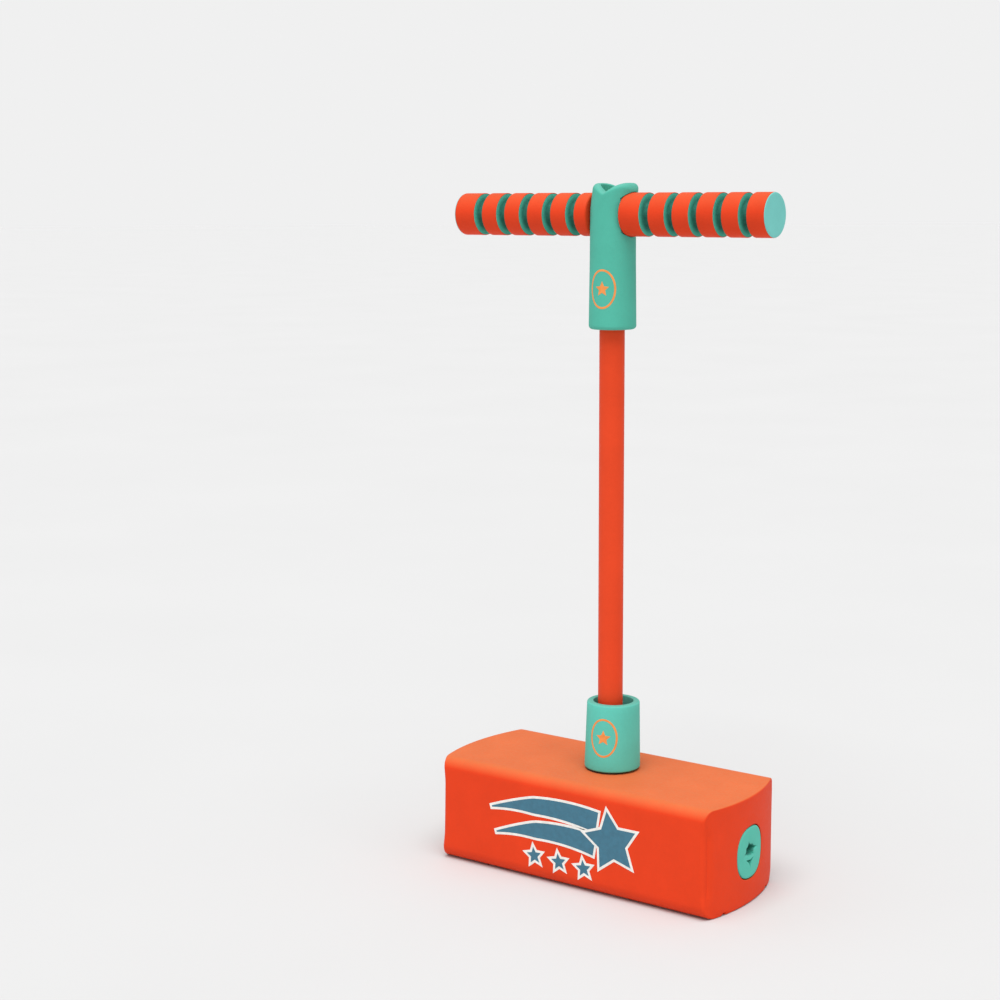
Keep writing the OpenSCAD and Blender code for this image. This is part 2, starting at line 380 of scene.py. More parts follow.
def start_material(name, **sockets):
    """A new node material, with values on its shader's own sockets."""
    material = bpy.data.materials.new(name)
    material.use_nodes = True
    shader = material.node_tree.nodes["Principled BSDF"]
    for socket, value in sockets.items():
        shader.inputs[socket.replace("_", " ")].default_value = value
    return material, shader


def feed(material, socket, value):
    """Links an input to a socket, or sets it to a value."""
    if isinstance(value, bpy.types.NodeSocket):
        material.node_tree.links.new(value, socket)
    else:
        socket.default_value = value


def node(material, kind, settings=(), **inputs):
    """A new node with its settings and inputs. An input goes by its name, or by i and its number."""
    made = material.node_tree.nodes.new("ShaderNode" + kind)
    for key, value in dict(settings).items():
        setattr(made, key, value)
    for key, value in inputs.items():
        number = key[1:]
        name = int(number) if number.isdigit() else key.replace("_", " ")
        feed(material, made.inputs[name], value)
    return made


def mixed(material, factor, first, second, blend="MIX"):
    """The colour output of a mix of two colours."""
    settings = {"data_type": "RGBA", "blend_type": blend}
    return node(material, "Mix", settings, i0=factor, i6=first, i7=second).outputs[2]


def level(material, value, low, high, to_low, to_high):
    """A value taken from one range to another."""
    return node(
        material, "MapRange", i0=value, i1=low, i2=high, i3=to_low, i4=to_high
    ).outputs[0]


def grey(value):
    """A neutral linear colour."""
    return value, value, value, 1.0


def noise(material, place, scale, detail, **inputs):
    """A noise texture's value."""
    return node(
        material, "TexNoise", Vector=place, Scale=scale, Detail=detail, **inputs
    ).outputs["Fac"]


def cells_of(material, place, scale):
    """The distance from the middle of the nearest foam cell."""
    return node(material, "TexVoronoi", Vector=place, Scale=scale, Randomness=1).outputs["Distance"]


def blotched(material, value, colour, dark, light):
    """The colour, between a darker and a lighter share of itself as the value goes."""
    share = level(material, value, 0.35, 0.65, 0, 1)
    return mixed(material, share, scaled(colour, dark), scaled(colour, light))


def bumped(material, height, strength, distance, **inputs):
    """A bump's normal."""
    return node(
        material, "Bump", Strength=strength, Distance=distance, Height=height, **inputs
    ).outputs[0]


def away_from(material, place, centre, scale):
    """The distance from a centre, with each axis scaled; a scale of 0 leaves that axis out."""
    offset = node(material, "VectorMath", {"operation": "SUBTRACT"}, i0=place, i1=centre).outputs[0]
    offset = node(material, "VectorMath", {"operation": "MULTIPLY"}, i0=offset, i1=scale).outputs[0]
    return node(material, "VectorMath", {"operation": "LENGTH"}, i0=offset).outputs["Value"]


def finish_material(material, shader, tone, rough_by, rough, normal):
    """Links the colour, the bump and a roughness that follows a noise between two values."""
    link = material.node_tree.links.new
    link(tone, shader.inputs["Base Color"])
    link(level(material, rough_by, 0.3, 0.7, *rough), shader.inputs["Roughness"])
    link(normal, shader.inputs["Normal"])
    return material


def foam(name, colour, lit_top=None, cells=900, cell_depth=0.05 * MM, skin=0.08 * MM,
         shade_by=0.07, rough=(0.5, 0.66), pores=0.1, hollow=None):
    """Closed-cell foam: mottled, with fine cells and an uneven skin.

    Where it faces up it turns to its lit_top colour, a painted highlight for the light from above.
    A hollow (centre, scale, near, far, amount) paints shade on it, darker towards a centre, or towards
    the axis along which the scale is 0.
    """
    material, shader = start_material(
        name, Sheen_Weight=0.01, Sheen_Roughness=0.4, Specular_IOR_Level=0.09
    )
    where = node(material, "TexCoord")
    place = where.outputs["Object"]
    broad = noise(material, place, 38, 3, Roughness=0.55)
    small = noise(material, place, 420, 4, Roughness=0.6)
    cell = cells_of(material, place, cells)
    tone = colour
    # Painted highlight: faces that turn up take the lighter lit_top colour, in place of light from
    # above
    if lit_top:
        up = node(material, "SeparateXYZ", Vector=where.outputs["Normal"]).outputs["Z"]
        tone = mixed(material, level(material, up, 0.15, 0.97, 0, 1), tone, lit_top)
    # Painted shade: darker towards the hollow's centre or axis, where grooves and the puncture are out
    # of the light
    if hollow:
        centre, scale, near, far, amount = hollow
        away = away_from(material, place, centre, scale)
        shadow = level(material, away, near, far, amount, 0)
        tone = mixed(material, shadow, tone, scaled(colour, 0.1))
    share = level(material, broad, 0.3, 0.7, 0, 1)
    mottle = mixed(material, share, grey(1 - shade_by), grey(1 + shade_by))
    tone = mixed(material, 1.0, tone, mottle, "MULTIPLY")
    pore = level(material, cell, 0.05, 0.35, pores, 0)
    tone = mixed(material, pore, tone, scaled(colour, 0.45))
    grain = level(material, small, 0.35, 0.65, 0, 0.1)
    tone = mixed(material, grain, tone, scaled(colour, 1.25))
    cell_bump = bumped(material, cell, 0.6, cell_depth)
    skin_bump = bumped(material, small, 0.5, skin, Normal=cell_bump)
    return finish_material(material, shader, tone, small, rough, skin_bump)


def moulded(name, colour, rough=(0.3, 0.45), grain=700, depth=0.03 * MM):
    """Moulded plastic with a fine spark-eroded grain and faint flow marks."""
    material, shader = start_material(name, Specular_IOR_Level=0.5)
    place = node(material, "TexCoord").outputs["Object"]
    fine = noise(material, place, grain, 3)
    flow = noise(material, place, 55, 2, Distortion=1.2)
    tone = blotched(material, flow, colour, 0.93, 1.05)
    return finish_material(material, shader, tone, fine, rough, bumped(material, fine, 0.4, depth))


def plated(name, colour):
    """Zinc-plated steel with a drawn grain along X and cloudy passivation."""
    material, shader = start_material(name, Metallic=1.0)
    place = node(material, "TexCoord").outputs["Object"]
    drawn = node(material, "Mapping", Vector=place, Scale=(30, 900, 900)).outputs[0]
    lines = noise(material, drawn, 1, 3)
    tone = blotched(material, noise(material, place, 120, 5), colour, 0.85, 1.1)
    bump = bumped(material, lines, 0.3, 0.02 * MM)
    return finish_material(material, shader, tone, lines, (0.22, 0.42), bump)


def printed(name, colour):
    """Screen-printed ink: slightly blotchy, with the foam's cells showing through."""
    material, shader = start_material(name, Specular_IOR_Level=0.35)
    place = node(material, "TexCoord").outputs["Object"]
    blotch = noise(material, place, 260, 5)
    tone = blotched(material, blotch, colour, 0.92, 1.06)
    bump = bumped(material, cells_of(material, place, 900), 0.4, 0.04 * MM)
    return finish_material(material, shader, tone, blotch, (0.45, 0.6), bump)


# ORANGE and TEAL are the foams' own colours; LIT_TOP_ORANGE and LIT_TOP_TEAL are lighter, painted
# highlights for upward faces
ORANGE = srgb(228, 66, 30)
LIT_TOP_ORANGE = srgb(203, 106, 61)
TEAL = srgb(84, 181, 160)
LIT_TOP_TEAL = srgb(94, 168, 152)

# Painted shade: foam is painted dark where a groove or a puncture hides it from the light; the values
# are foam()'s hollow
GROOVE_PAINTED_SHADE = ((0, 0, BAR_Z), (0, 1, 1), GROOVE_R + 0.4 * MM, GROOVE_R + 4 * MM, 0.8)
PUNCTURE_PAINTED_SHADE = (
    (0, PUNCTURE_Y, PUNCTURE_Z), (0, 1 / PUNCTURE_WIDE, 1 / PUNCTURE_TALL),
    2.7 * MM, 4.4 * MM, 0.9,
)

block_foam = foam("block_foam", ORANGE, LIT_TOP_ORANGE, cells=1100, shade_by=0.04, pores=0.06)
# The bands' second colour is a painted highlight for their upward faces
band_foam = foam(
    "band_foam", srgb(222, 65, 31), srgb(204, 80, 43), cells=800, shade_by=0.06, pores=0.14
)
pole_foam = foam("pole_foam", srgb(228, 73, 37), shade_by=0.04, pores=0.06, rough=(0.42, 0.55))
teal_foam = foam("teal_foam", TEAL, LIT_TOP_TEAL, cells=1000, shade_by=0.05, pores=0.08)
# A lighter copy of the teal foam: painted light on the collar, which the block shades from the light
collar_lit_foam = foam(
    "collar_lit_foam", srgb(97, 198, 181), LIT_TOP_TEAL, cells=1000, shade_by=0.05, pores=0.08
)
# The grip cores' foam, with painted shade deep in its grooves
cut_foam = foam(
    "cut_foam", TEAL, cells=750, shade_by=0.08, pores=0.3, cell_depth=0.2 * MM,
    rough=(0.65, 0.8), hollow=GROOVE_PAINTED_SHADE,
)
# The end plugs' foam, with painted shade inside the puncture
plug_foam = foam(
    "plug_foam", srgb(91, 192, 172), cells=1000, shade_by=0.05, pores=0.08, hollow=PUNCTURE_PAINTED_SHADE
)
disc_foam = foam(
    "disc_foam", srgb(119, 199, 192), cells=800, shade_by=0.04, pores=0.12, rough=(0.6, 0.75)
)
ink_white = printed("ink_white", srgb(240, 238, 232))
ink_blue = printed("ink_blue", srgb(64, 116, 138))
ink_orange = printed("ink_orange", srgb(240, 150, 76))
white_plastic = moulded("white_plastic", srgb(226, 223, 212))
soft_plastic = moulded("soft_plastic", srgb(214, 216, 210), rough=(0.4, 0.55), grain=300)
black_plastic = moulded("black_plastic", srgb(30, 32, 33), rough=(0.35, 0.5))
elastic = moulded(
    "elastic", srgb(196, 178, 140), rough=(0.5, 0.65), grain=500, depth=0.08 * MM
)
zinc = plated("zinc", srgb(196, 200, 204))


# ---------------------------------------------------------------- foot block

# Rows of points along half the block and round its end's edge, and shares of the way from that
# edge across the end to the pocket
BODY_ROWS = 26
EDGE_ROWS = 7
FACE_SHARES = (0.06, 0.2, 0.35, 0.5, 0.65, 0.8, 0.9, 0.97)


def end_x(y):
    """How far the bowed end stands out at that distance from the middle plane."""
    return END_C + math.sqrt(END_R * END_R - y * y)


def block_section():
    """The block's section (y, z), with its two sole grooves."""
    corners = [(-HALF_W, 0, BOTTOM_ROUND)]
    for centre in (-GROOVE_Y, GROOVE_Y):
        near, far = centre - GROOVE_W / 2, centre + GROOVE_W / 2
        corners += [
            (near - GROOVE_SLOPE, 0, 0.7 * MM), (near + GROOVE_SLOPE, GROOVE_D, 0.5 * MM),
            (far - GROOVE_SLOPE, GROOVE_D, 0.5 * MM), (far + GROOVE_SLOPE, 0, 0.7 * MM),
        ]
    corners += [(HALF_W, 0, BOTTOM_ROUND), (HALF_W, BASE_H, TOP_ROUND), (-HALF_W, BASE_H, TOP_ROUND)]
    return spaced(rounded(corners, steps=10), 3 * MM)


def without_grooves(y, z):
    """A point of the section, with the grooves' points brought down to the sole."""
    in_groove = z < 1.2 * GROOVE_D and abs(y) < GROOVE_Y + GROOVE_W
    return y, 0.0 if in_groove else z


def plug_point(angle, inset=0.0):
    """The point (y, z) of the upright oval plug's edge at that angle from its middle."""
    y, z = math.cos(angle), math.sin(angle)
    wide, tall = abs(y) / (PLUG_HALF_W - inset), abs(z) / (PLUG_HALF_H - inset)
    reach = (wide ** PLUG_POWER + tall ** PLUG_POWER) ** (-1 / PLUG_POWER)
    return y * reach, PLUG_Z + z * reach


def end_edge(y, z):
    """The rounding of the end's edge: crisp along the top, soft down the front corner."""
    front = ramp(-y, 20 * MM, 44 * MM) * ramp(z, 4 * MM, 20 * MM)
    size = END_EDGE + (END_EDGE_FRONT - END_EDGE) * front
    return END_EDGE_TOP + (size - END_EDGE_TOP) * ramp(BASE_H - z, 0, 20 * MM)


def askew(x, y, z, share=1.0):
    """Where a point goes as both ends are cut a little out of square and the left one flares."""
    side = 1 if x > 0 else -1
    slip = SKEW[side] + FLARE[side] * (1 - z / BASE_H)
    return x - slip * share * (HALF_W + side * y) / (2 * HALF_W), y, z


def end_rows(section):
    """Rows from the block's middle to an end, over its edge, across it and into its pocket."""
    flat = [without_grooves(y, z) for y, z in section]
    pocket = [plug_point(math.atan2(z - PLUG_Z, y), -POCKET_GAP) for y, z in flat]
    inward = [(Vector(p) - Vector(f)).normalized() for p, f in zip(pocket, flat)]
    sizes = [end_edge(y, z) for y, z in section]
    rows = []
    for k in range(1, BODY_ROWS + 1):
        share = k / BODY_ROWS
        rows.append([(share * (end_x(y) - size), y, z) for (y, z), size in zip(section, sizes)])
    for inset, back in quarter(EDGE_ROWS, 1)[1:]:
        rows.append([
            (end_x(y) - size * back, y + way.x * (size * inset), z + way.y * (size * inset))
            for (y, z), way, size in zip(section, inward, sizes)
        ])
    edge = [
        (y + way.x * size, z + way.y * size) for (y, z), way, size in zip(flat, inward, sizes)
    ]
    for share in FACE_SHARES:
        ring = [between(e, p, share) for e, p in zip(edge, pocket)]
        rows.append([(end_x(y), y, z) for y, z in ring])
    for depth in (0.15 * MM, 1 * MM, 6 * MM):
        rows.append([(end_x(y) - depth, y, z) for y, z in pocket])
    rows.append([(HALF_L - POCKET_D, y, z) for y, z in pocket])
    rows.append([(HALF_L - POCKET_D, 0.0, PLUG_Z)])
    return rows


def make_block():
    """The foam block, with a pocket in each end and the bore and recess through its middle."""
    section = block_section()
    half = end_rows(section)
    rows = [[(-x, y, z) for x, y, z in row] for row in reversed(half)]
    rows += [[(0.0, y, z) for y, z in section]] + half
    low, high = HALF_L - SKEW_FROM, HALF_L - SKEW_TO
    rows = [[askew(x, y, z, ramp(abs(x), low, high)) for x, y, z in row] for row in rows]
    block = from_rows("foot_block", rows, closed=False)
    recess = RECESS_R + RECESS_CLEAR
    well = lathe("well", [
        (0, -PAST), (recess, -PAST), (recess, RECESS_D),
        (BORE_R, RECESS_D), (BORE_R, BASE_H + PAST), (0, BASE_H + PAST),
    ], upright, closed=False)
    cut(block, well)
    wear(block, block_foam, "base", "orange_foam", "base_foam", padded=True)


def make_sole_cover():
    """The foam disc that closes the anchor's recess, rounded at its edge."""
    outline = rounded([
        (0, cover_low.z, 0), (COVER_R, cover_low.z, 0.8 * MM),
        (COVER_R, cover_high.z, 0.3 * MM), (0, cover_high.z, 0),
    ], closed=False)
    cover = lathe("sole_cover", outline, upright, closed=False)
    wear(cover, teal_foam, "base", "teal_foam", "anchor_cover")


def puncture_point(angle):
    """The puncture's edge (y, z) at that angle: a hole with short splits running out of it."""
    where = angle / TAU * len(SPIKES) % len(SPIKES)
    here, share = int(where), where % 1
    spike = SPIKES[here] * (1 - share) + SPIKES[(here + 1) % len(SPIKES)] * share
    way = Vector((PUNCTURE_WIDE * math.cos(angle), PUNCTURE_TALL * math.sin(angle)))
    return Vector((PUNCTURE_Y, PUNCTURE_Z)) + way * (PUNCTURE_R + SPIKE_L * spike ** 2.2)


def split_cutter(side):
    """A three-pointed wedge that opens the split under the puncture."""
    points = star(0, 0, SPLIT_R, turn=math.pi, waist=0.32, points=3)
    outline = [(SPLIT_Y + SPLIT_WIDE * y, SPLIT_Z + z) for y, z in points]
    inner, outer = side * (HALF_L - SPLIT_D), side * (HALF_L + 2 * MM)
    rows = [[(x, y, z) for y, z in outline] for x in (inner, outer)]
    caps = [[(x, SPLIT_Y, SPLIT_Z)] for x in (inner, outer)]
    return from_rows("split", [caps[0], *rows, caps[1]], closed=False)


def make_end_plug(side_name, points=160):
    """The oval plug in an end: flush with the bow, with a ragged puncture and a small split."""
    side = SIDES[side_name]
    angles = [TAU * k / points for k in range(points)]
    edge = [Vector(plug_point(angle)) for angle in angles]
    hole = [puncture_point(angle) for angle in angles]
    middle = Vector((PUNCTURE_Y, PUNCTURE_Z))
    face = []
    for inset, back in quarter(4, PLUG_EDGE):
        ring = [p + (middle - p).normalized() * inset for p in edge]
        face.append([(end_x(p.x) - back, p.x, p.y) for p in ring])
    for share in (0.15, 0.35, 0.55, 0.75, 0.9, 1.0):
        ring = [p.lerp(h, max(share, PLUG_EDGE / (p - h).length)) for p, h in zip(edge, hole)]
        sink = 0.5 * MM * share ** 6
        face.append([(end_x(p.x) - sink, p.x, p.y) for p in ring])
    for depth, shrink in ((2 * MM, 0.93), (6 * MM, 0.85), (10 * MM, 0.6)):
        ring = [middle + (h - middle) * shrink for h in hole]
        face.append([(HALF_L - depth, p.x, p.y) for p in ring])
    face.append([(HALF_L - PUNCTURE_D, middle.x, middle.y)])
    back = side * (HALF_L - PLUG_T)
    rows = [[(back, 0.0, PLUG_Z)], [(back, p.x, p.y) for p in edge]]
    rows += [[askew(side * x, y, z) for x, y, z in row] for row in face]
    plug = from_rows(side_name + "_plug", rows, closed=False)
    cut(plug, split_cutter(side))
    wear(plug, plug_foam, "base", "teal_foam", side_name + "_end_plug", padded=True)


def collar_point(radius, angle, height):
    """A point of the collar, which stands a little out of true."""
    share = (height - collar_low.z) / (collar_high.z - collar_low.z)
    slip = COLLAR_SLIP + COLLAR_LEAN * share
    x, y, z = upright(radius, angle, height)
    return x + COLLAR_WAY[0] * slip, y + COLLAR_WAY[1] * slip, z


def make_collar():
    """The foam tube that stands round the pole's foot."""
    outline = spaced(rounded([
        (COLLAR_BORE_R, collar_low.z, 0.4 * MM), (COLLAR_R, collar_low.z, 1.2 * MM),
        (COLLAR_R - COLLAR_TAPER, collar_high.z, 1.4 * MM),
        (COLLAR_BORE_R, collar_high.z, 0.5 * MM),
    ]), 4 * MM)
    collar = lathe("collar", outline, collar_point, segments=120)
    wear(collar, collar_lit_foam, "base", "teal_foam", "base_collar", padded=True)


make_block()
make_sole_cover()
for name in SIDES:
    make_end_plug(name)
make_collar()


# ---------------------------------------------------------------- elastic pole


def make_tube(name, low, high, outer, inner, material, slot, cad_node):
    """A straight length of the pole, with no body of its own; a core has no inner wall."""
    hollow = inner > 0
    outline = spaced(
        [(inner, low), (outer, low), (outer, high), (inner, high)], 2.5 * MM, closed=hollow
    )
    tube = lathe(name, outline, upright, closed=hollow, segments=72)
    wear(tube, material, None, slot, cad_node)
    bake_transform(tube)


make_tube(
    "pole_lower", POLE_FOOT, SEAM_Z, POLE_R, CORE_R + CORE_GAP,
    pole_foam, "orange_elastic", "lower_pole_tube",
)
make_tube(
    "pole_upper", SEAM_Z, POLE_TOP, POLE_R, CORE_R + CORE_GAP,
    pole_foam, "orange_elastic", "upper_pole_tube",
)
make_tube(
    "elastic_lower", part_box("lower_elastic_core")[0].z, SEAM_Z, CORE_R, 0,
    elastic, "elastic_core", "lower_elastic_core",
)
make_tube(
    "elastic_upper", SEAM_Z, core_high.z, CORE_R, 0,
    elastic, "elastic_core", "upper_elastic_core",
)


# ---------------------------------------------------------------- handle sleeve

def rim_height(x):
    """Height of the sleeve's fish-mouth rim at a distance from the middle plane."""
    soft = math.sqrt(x * x + NOTCH_SOFT ** 2)
    across = min(1.0, soft / LOBE_X)
    past = max(0.0, abs(x) - (SLEEVE_R - SHOULDER))
    drop = SHOULDER - math.sqrt(max(0.0, SHOULDER * SHOULDER - past * past))
    return sleeve_high.z - NOTCH * (1 - across) ** NOTCH_POWER - drop


def sleeve_point(radius, angle, height):
    """A point of the sleeve: above the knee its wall is stretched up to the rim."""
    x = radius * math.cos(angle)
    if height > KNEE_Z:
        share = (height - KNEE_Z) / (sleeve_high.z - KNEE_Z)
        height = KNEE_Z + share * (rim_height(x) - KNEE_Z)
    lean = SLEEVE_LEAN * ramp(height, BAR_Z, sleeve_high.z)
    return x + SLIM + lean, radius * math.sin(angle), height


def make_sleeve():
    """The foam sleeve over the tee, with a spot face on each side where a grip enters it."""
    inner = SLEEVE_R - SLEEVE_WALL
    outline = spaced(rounded([
        (inner, sleeve_low.z, 0.8 * MM), (SLEEVE_R + BELL - SLIM, sleeve_low.z, 2.6 * MM),
        (SLEEVE_R - SLIM, sleeve_low.z + BELL_H, 60 * MM),
        (SLEEVE_R - 2 * SLIM, sleeve_high.z, 4.2 * MM),
        (inner - PINCH, sleeve_high.z, 0.7 * MM), (inner, sleeve_high.z - 9 * MM, 12 * MM),
    ], steps=8), 1.5 * MM)
    sleeve = lathe("sleeve", outline, sleeve_point, segments=144)
    tube_hole, grip_hole = TUBE_R + TUBE_CLEAR, GRIP_R + SPOT_CLEAR
    outside = SLEEVE_R + 3 * MM
    for side in SIDES.values():
        cut(sleeve, lathe("spot", [
            (0, 0), (tube_hole, 0), (tube_hole, SPOT_FACE),
            (grip_hole, SPOT_FACE), (grip_hole, outside), (0, outside),
        ], along_bar(side), closed=False))
    wear(sleeve, teal_foam, "handle", "teal_foam", "handle_sleeve", padded=True)


make_sleeve()


# ---------------------------------------------------------------- grips

def band_spans(side_name):
    """How far from the middle each band of a grip begins and ends."""
    boxes = [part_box(f"{side_name}_band_{i}") for i in range(1, BANDS + 1)]
    return [sorted((abs(low.x), abs(high.x))) for low, high in boxes]


def make_grip_core(side_name):
    """A grip's foam core: a land under each band, and a groove between them."""
    spans = band_spans(side_name)
    lip = spans[0][0] + LIP
    corners = [(TUBE_R, lip, 0)]
    for i, (near, far) in enumerate(spans):
        last = i == BANDS - 1
        corners += [(LAND_R, max(near, lip), 0.5 * MM), (LAND_R, far, (0.2 if last else 0.5) * MM)]
        if not last:
            corners += [(GROOVE_R, far, 1.4 * MM), (GROOVE_R, spans[i + 1][0], 1.4 * MM)]
    corners.append((TUBE_R, spans[-1][1], 0))
    outline = spaced(rounded(corners, steps=4), 2.5 * MM)
    core = lathe(side_name + "_core", outline, along_bar(SIDES[side_name]))
    wear(core, cut_foam, "handlebar", "teal_foam", side_name + "_grip_core", padded=True)


def make_grip_skins(side_name):
    """A grip's orange skins; the first also covers the grip's inner end."""
    spans = band_spans(side_name)
    lip, wall = spans[0][0] + LIP, TUBE_R + 2 * MM
    for i, (near, far) in enumerate(spans):
        end = DISC_IN if i == BANDS - 1 else far
        section = [(LAND_R, near, 0.05 * MM), (GRIP_R, near, 0.35 * MM)]
        if i == 0:
            section = [
                (LAND_R, lip, 0.05 * MM), (wall, lip, 0.05 * MM),
                (wall, near, 0.2 * MM), (GRIP_R, near, 1.6 * MM),
            ]
        section += [(GRIP_R, end, 0.35 * MM), (LAND_R, end, 0.05 * MM)]
        outline = spaced(rounded(section, steps=5), 2.5 * MM)
        skin = lathe(f"{side_name}_skin_{i + 1}", outline, along_bar(SIDES[side_name]))
        wear(skin, band_foam, "handlebar", "orange_foam", f"{side_name}_band_{i + 1}")


def make_grip_disc(side_name):
    """The pale disc that closes a grip's outer end."""
    stem, step = LAND_R - 0.1 * MM, DISC_IN + 0.1 * MM
    outline = rounded([
        (0, GRIP_OUT, 0), (stem, GRIP_OUT, 0), (stem, step, 0),
        (DISC_R, step, 0.1 * MM), (DISC_R, DISC_OUT, 0.5 * MM), (0, DISC_OUT, 0),
    ], closed=False, steps=4)
    outline = spaced(outline, 2 * MM, closed=False)
    disc = lathe(side_name + "_disc", outline, along_bar(SIDES[side_name]), closed=False)
    wear(disc, disc_foam, "handlebar", "pale_teal_foam", side_name + "_end_disc")


for name in SIDES:
    make_grip_core(name)
    make_grip_skins(name)
    make_grip_disc(name)


# ---------------------------------------------------------------- printed graphics

# The block's front graphic, in millimetres from the middle of the block's sole: the streaks from
# first to last end, the small stars and the big one
STREAKS = (((-68, 48), (22, 53)), ((-64, 30), (20, 36)))
SMALL_STARS = ((-31, 18.5), (-10, 18), (11, 17.5))
BIG_STAR = (34, 41)
STREAK_RISE = 5 * MM
STREAK_W = 15 * MM
SMALL_STAR_R = 6.4 * MM
BIG_STAR_R = 22 * MM
OUTLINE_W = 1.8 * MM

# Ink stands this far over the foam, and the big star's lies over the streaks'
INK = 0.05 * MM
OVER_INK = 0.15 * MM

# The emblems: an oval line round a small star, whose radius is a share of the oval's width; the
# star is built in rings, so that it follows the foam tube that it is printed on
EMBLEM_LINE = 1.4 * MM
EMBLEM_STAR = 0.27
EMBLEM_LOW = -0.15 * MM
EMBLEM_HIGH = 0.06 * MM
EMBLEM_RINGS = 6


def streak(u0, v0, u1, v1, rise, width, steps=24):
    """A curved streak that swells from a blunt first end to width at its last."""
    upper, lower = [], []
    for k in range(steps + 1):
        t = k / steps
        u, v = u0 + (u1 - u0) * t, v0 + (v1 - v0) * t + 4 * rise * t * (1 - t)
        slope = Vector((u1 - u0, v1 - v0 + 4 * rise * (1 - 2 * t))).normalized()
        half = width / 2 * min(1.0, 0.12 + 2.2 * t) * (0.55 + 0.45 * t)
        upper.append((u - slope.y * half, v + slope.x * half))
        lower.append((u + slope.y * half, v - slope.x * half))
    return lower + upper[::-1]


def grown(outline, by):
    """An outline moved outwards, with its points kept from running far out."""
    grown_points = []
    count = len(outline)
    for i, point in enumerate(outline):
        before = (Vector(point) - Vector(outline[i - 1])).normalized()
        after = (Vector(outline[(i + 1) % count]) - Vector(point)).normalized()
        normal = Vector((before.y + after.y, -before.x - after.x)).normalized()
        cosine = max(0.45, normal.dot(Vector((after.y, -after.x))))
        grown_points.append((point[0] + normal.x * by / cosine, point[1] + normal.y * by / cosine))
    return grown_points


def slab(bm, outline, place, low, high):
    """A thin closed slab over a flat outline, between two heights over the surface."""
    bottom = [bm.verts.new(place(u, v, low)) for u, v in outline]
    top = [bm.verts.new(place(u, v, high)) for u, v in outline]
    bm.faces.new(bottom[::-1])
    bm.faces.new(top)
    count = len(outline)
    for k in range(count):
        n = (k + 1) % count
        bm.faces.new([bottom[k], bottom[n], top[n], top[k]])


def strip(bm, inner, outer, place, low, high):
    """A thin closed band between two matching outlines, between two heights."""
    rings = [
        [bm.verts.new(place(u, v, height)) for u, v in outline]
        for outline, height in ((inner, low), (outer, low), (outer, high), (inner, high))
    ]
    count = len(inner)
    for ring, following in zip(rings, rings[1:] + rings[:1]):
        for k in range(count):
            n = (k + 1) % count
            bm.faces.new([ring[k], ring[n], following[n], following[k]])


def on_front(u, v, height):
    """A point over the block's front face."""
    return u, -HALF_W - height, v


def make_front_graphic():
    """A shooting star: two streaks that end in a big star, with small stars below."""
    shapes = []
    for first, last in STREAKS:
        ends = [mm * MM for mm in first + last]
        shapes.append((streak(*ends, STREAK_RISE, STREAK_W), INK))
    for u, v in SMALL_STARS:
        shapes.append((star(u * MM, v * MM, SMALL_STAR_R, turn=0.15), INK))
    u, v = BIG_STAR
    shapes.append((star(u * MM, v * MM, BIG_STAR_R, turn=0.18, waist=0.52), OVER_INK))
    white, blue = bmesh.new(), bmesh.new()
    for outline, height in shapes:
        slab(white, grown(outline, OUTLINE_W), on_front, -0.2 * MM, height)
        slab(blue, outline, on_front, -0.1 * MM, height + INK)
    wear(finish_mesh(white, "front_print_white"), ink_white, "base", "orange_foam")
    wear(finish_mesh(blue, "front_print_blue"), ink_blue, "base", "orange_foam")


def sleeve_radius(height):
    """The sleeve's outer radius at a height within its bell."""
    return SLEEVE_R - SLIM + BELL * (1 - (height - sleeve_low.z) / BELL_H)


def collar_radius(height):
    """The collar's outer radius at that height."""
    return COLLAR_R - COLLAR_TAPER * (height - collar_low.z) / (collar_high.z - collar_low.z)


def around(point, radius_at, angle, height):
    """The place function of a print wrapped round an upright tube; angle 0 is the front."""
    def place(u, v, lift):
        radius = radius_at(height + v) + lift
        return point(radius, angle + u / radius - math.pi / 2, height + v)
    return place


def oval(wide, tall, count=72):
    """An upright oval's outline."""
    angles = [TAU * k / count for k in range(count)]
    return [(wide / 2 * math.cos(angle), tall / 2 * math.sin(angle)) for angle in angles]


def make_emblem(name, body, place, tall, wide):
    """An oval line with a small star in it, printed on a foam tube."""
    bm = bmesh.new()
    inner = oval(wide - 2 * EMBLEM_LINE, tall - 2 * EMBLEM_LINE)
    strip(bm, inner, oval(wide, tall), place, EMBLEM_LOW, EMBLEM_HIGH)
    outline = spaced(star(0, 0, EMBLEM_STAR * wide), 0.6 * MM)
    rings = []
    for k in range(1, EMBLEM_RINGS + 1):
        share = k / EMBLEM_RINGS
        rings.append([(u * share, v * share) for u, v in outline])
    slab(bm, rings[0], place, EMBLEM_LOW, EMBLEM_HIGH)
    for near, far in zip(rings, rings[1:]):
        strip(bm, near, far, place, EMBLEM_LOW, EMBLEM_HIGH)
    wear(finish_mesh(bm, name), ink_orange, body, "teal_foam")


make_front_graphic()
make_emblem(
    "sleeve_emblem", "handle",
    around(sleeve_point, sleeve_radius, math.radians(6), sleeve_low.z + 28 * MM),
    27 * MM, 20 * MM,
)
make_emblem(
    "collar_emblem", "base",
    around(collar_point, collar_radius, math.radians(12), collar_low.z + 25 * MM),
    28 * MM, 21 * MM,
)


# ---------------------------------------------------------------- carried-over pieces

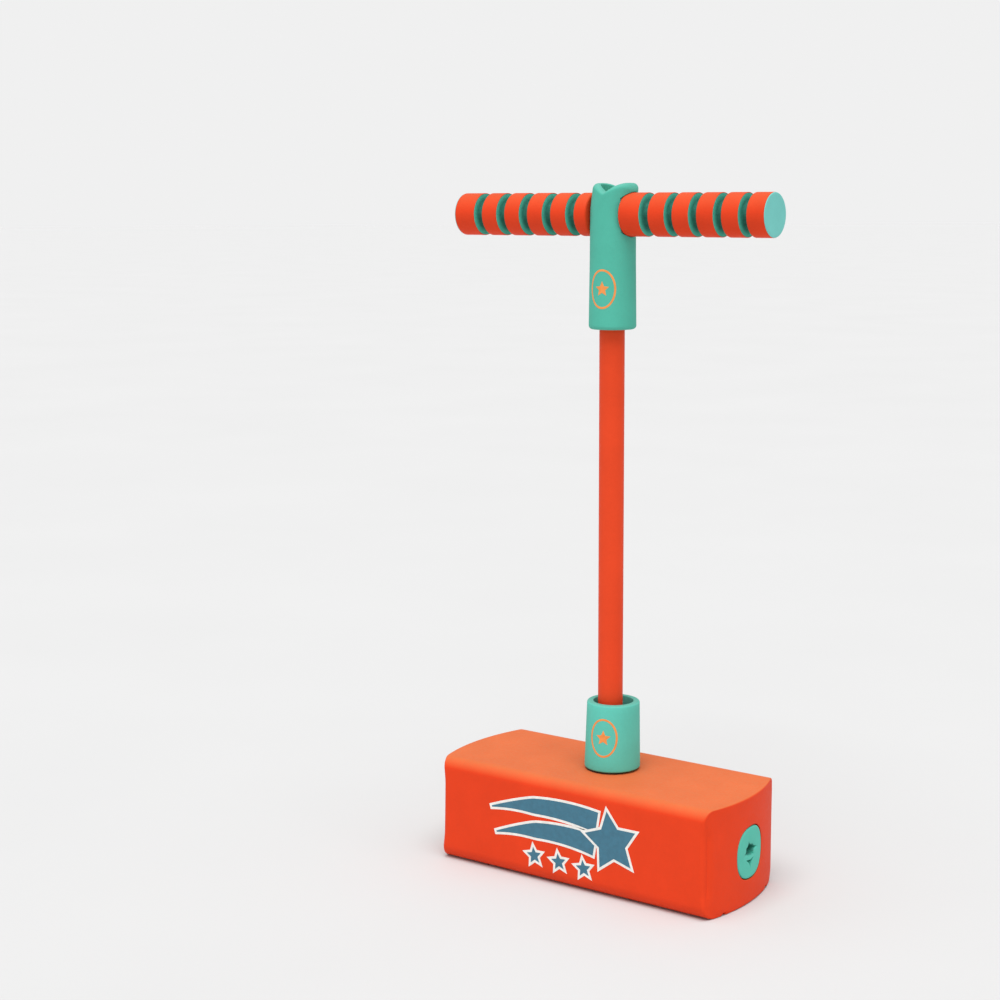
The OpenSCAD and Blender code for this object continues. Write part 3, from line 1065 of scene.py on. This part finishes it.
CARRIED = {
    white_plastic: (
        "anchor_plate", "left_squeaker_reed", "right_squeaker_reed", "pole_socket", "tee_head",
    ),
    soft_plastic: ("left_squeaker_bulb", "right_squeaker_bulb"),
    black_plastic: (
        "guide_ferrule", "lower_cord_stop", "upper_cord_stop", "left_tube_plug", "right_tube_plug",
    ),
    zinc: ("anchor_washer", "upper_washer", "handlebar_tube"),
}
for material, names in CARRIED.items():
    for name in names:
        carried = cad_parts[name]
        carried.data.materials.clear()
        carried.data.materials.append(material)


# ---------------------------------------------------------------- floor and light

FLOOR_R = 30
FLOOR_GREY = (srgb(198, 198, 198), srgb(202, 202, 202))
SURROUND = 0.62
BACKDROP = 0.872
OVERHEAD_ENERGY = 3.0
OVERHEAD_ANGLE = math.radians(50)
OVERHEAD_FROM = Vector((0.16, -0.3, 1))


def make_floor():
    """A wide pale floor."""
    bm = bmesh.new()
    bmesh.ops.create_circle(bm, cap_ends=True, segments=96, radius=FLOOR_R)
    floor = finish_mesh(bm, "floor")
    material, shader = start_material("floor", Specular_IOR_Level=0.1, Roughness=0.8)
    cloud = noise(material, node(material, "TexCoord").outputs["Object"], 3, 4)
    tone = mixed(material, cloud, *FLOOR_GREY)
    material.node_tree.links.new(tone, shader.inputs["Base Color"])
    floor.data.materials.append(material)


def make_light():
    """A white studio: an even surround, and one very large soft source overhead, a little in front."""
    world = bpy.data.worlds.new("studio")
    world.use_nodes = True
    nodes, links = world.node_tree.nodes, world.node_tree.links
    surround = nodes["Background"]
    surround.inputs["Color"].default_value = grey(1)
    surround.inputs["Strength"].default_value = SURROUND
    backdrop = nodes.new("ShaderNodeBackground")
    backdrop.inputs["Color"].default_value = grey(BACKDROP)
    seen = nodes.new("ShaderNodeLightPath")
    choice = nodes.new("ShaderNodeMixShader")
    links.new(seen.outputs["Is Camera Ray"], choice.inputs[0])
    links.new(surround.outputs[0], choice.inputs[1])
    links.new(backdrop.outputs[0], choice.inputs[2])
    links.new(choice.outputs[0], nodes["World Output"].inputs[0])
    bpy.context.scene.world = world
    overhead = bpy.data.objects.new("overhead", bpy.data.lights.new("overhead", "SUN"))
    bpy.context.scene.collection.objects.link(overhead)
    overhead.data.energy = OVERHEAD_ENERGY
    overhead.data.angle = OVERHEAD_ANGLE
    overhead.rotation_mode = "QUATERNION"
    overhead.rotation_quaternion = OVERHEAD_FROM.to_track_quat("Z", "Y")


make_floor()
make_light()
bpy.context.scene.view_settings.view_transform = "Standard"
